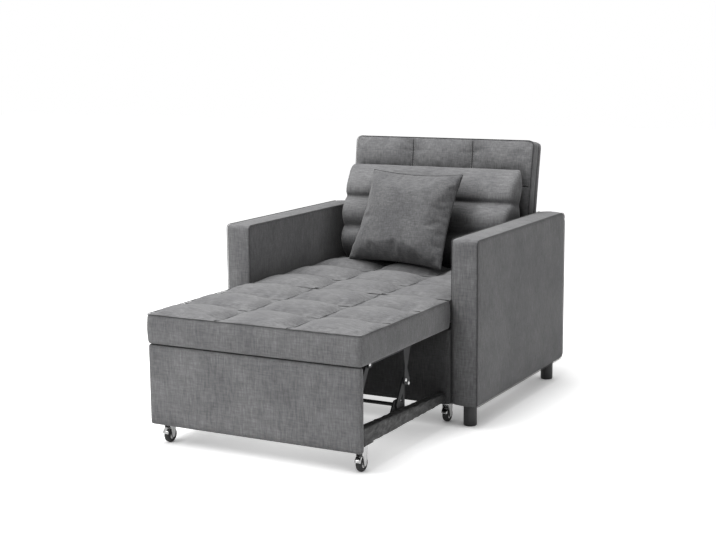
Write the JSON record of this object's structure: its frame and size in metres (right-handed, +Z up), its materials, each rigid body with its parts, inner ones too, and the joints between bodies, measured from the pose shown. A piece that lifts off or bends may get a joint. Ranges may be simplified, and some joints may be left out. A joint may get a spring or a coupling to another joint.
{
  "type": "convertible chair bed",
  "caption": "Upholstered chair bed with a pull-out wheeled base, fold-down back, tufted mattress sections and loose cushions.",
  "frame": {"origin": "on the floor, in the middle of the width and depth as pictured", "axes": "+X to the chair's right as seen from the front, +Y from the front panel to the back, +Z up"},
  "size_m": [0.9716, 1.486, 0.8949],
  "materials": {
    "fabric": "mid-grey woven velvet",
    "timber": "raw pine and plywood",
    "black_plastic": "matt black",
    "black_cloth": "black lining cloth over timber",
    "black_steel": "black powder coat",
    "webbing": "elastic webbing",
    "bright_steel": "bright zinc or chrome plating",
    "tyre": "black rubber tyre on a plated hub"
  },
  "bodies": {
    "chair": {"arm_cover_left": "fabric", "arm_cover_right": "fabric", "arm_frame_left": "timber", "arm_frame_right": "timber", "feet": "black_plastic", "seat_cushion": "fabric", "seat_side_rails": "black_steel", "seat_cross_rails": "black_steel", "seat_webbing": "webbing", "rear_panel": "fabric", "rear_beam": "timber", "hinge_sectors": "black_steel"},
    "back": {"backrest_cushion": "fabric", "backrest_rear_cover": "fabric", "backrest_rails": "black_steel", "hinge_arms": "black_steel", "backrest_post_left": "black_steel", "backrest_post_right": "black_steel"},
    "lumbar": {"lumbar_cushion": "fabric"},
    "pillow": {"throw_pillow": "fabric"},
    "front_leaf": {"leaf_cushion": "fabric", "leaf_board": "timber"},
    "drawer": {"front_panel_board": "timber", "front_panel_cover": "fabric", "side_rail_left": "black_cloth", "side_rail_right": "black_cloth", "drawer_wall": "black_cloth", "drawer_cross_bar": "black_steel", "castor_brackets": "bright_steel", "front_lift_brackets": "black_steel", "mid_lift_brackets": "black_steel"},
    "front_left_wheel": {"front_castor_wheel_left": "tyre"},
    "front_right_wheel": {"front_castor_wheel_right": "tyre"},
    "rear_left_wheel": {"rear_castor_wheel_left": "tyre"},
    "rear_right_wheel": {"rear_castor_wheel_right": "tyre"},
    "lift_mid_arms": {"mid_lift_arms": "black_steel"},
    "lift_front_arms": {"front_lift_arms": "black_steel"},
    "lift_frame": {"lift_side_bars": "black_steel", "lift_cross_bars": "black_steel"}
  },
  "joints": [
    {"name": "back_recline", "type": "hinge", "parent": "chair", "child": "back", "pos_m": [0, 0.61295, 0.39], "axis": [-1, 0, 0], "range_deg": [0, 80.8]},
    {"name": "lumbar_lift_off", "type": "slide", "parent": "back", "child": "lumbar", "axis": [0, 0.1599, 0.9871], "range_m": [0, 0.3]},
    {"name": "pillow_lift_off", "type": "slide", "parent": "lumbar", "child": "pillow", "axis": [0, 0, 1], "range_m": [0, 0.3]},
    {"name": "drawer_slide", "type": "slide", "parent": "chair", "child": "drawer", "axis": [0, 1, 0], "range_m": [0, 0.6]},
    {"name": "leaf_fold", "type": "hinge", "parent": "chair", "child": "front_leaf", "pos_m": [0, -0.12105, 0.4285], "axis": [-1, 0, 0], "range_deg": [0, 120]},
    {"name": "lift_fold", "type": "hinge", "parent": "drawer", "child": "lift_mid_arms", "pos_m": [0, -0.43805, 0.147], "axis": [-1, 0, 0], "range_deg": [0, 55]},
    {"name": "lift_front_fold", "type": "hinge", "parent": "drawer", "child": "lift_front_arms", "pos_m": [0, -0.68005, 0.249], "axis": [-1, 0, 0], "range_deg": [0, 55]},
    {"name": "lift_frame_level", "type": "hinge", "parent": "lift_mid_arms", "child": "lift_frame", "pos_m": [0, -0.39405, 0.21797], "axis": [-1, 0, 0], "range_deg": [-55, 0]},
    {"name": "front_left_wheel_roll", "type": "hinge", "parent": "drawer", "child": "front_left_wheel", "pos_m": [-0.349, -0.67805, 0.025], "axis": [-1, 0, 0], "continuous": true},
    {"name": "front_right_wheel_roll", "type": "hinge", "parent": "drawer", "child": "front_right_wheel", "pos_m": [0.349, -0.67805, 0.025], "axis": [-1, 0, 0], "continuous": true},
    {"name": "rear_left_wheel_roll", "type": "hinge", "parent": "drawer", "child": "rear_left_wheel", "pos_m": [-0.349, -0.06205, 0.025], "axis": [-1, 0, 0], "continuous": true},
    {"name": "rear_right_wheel_roll", "type": "hinge", "parent": "drawer", "child": "rear_right_wheel", "pos_m": [0.349, -0.06205, 0.025], "axis": [-1, 0, 0], "continuous": true}
  ],
  "couplings": [
    {"joint": "leaf_fold", "follows": "drawer_slide", "rad_per_m": 3.4907},
    {"joint": "lift_front_fold", "follows": "lift_fold", "ratio": 1},
    {"joint": "lift_frame_level", "follows": "lift_fold", "ratio": -1}
  ]
}
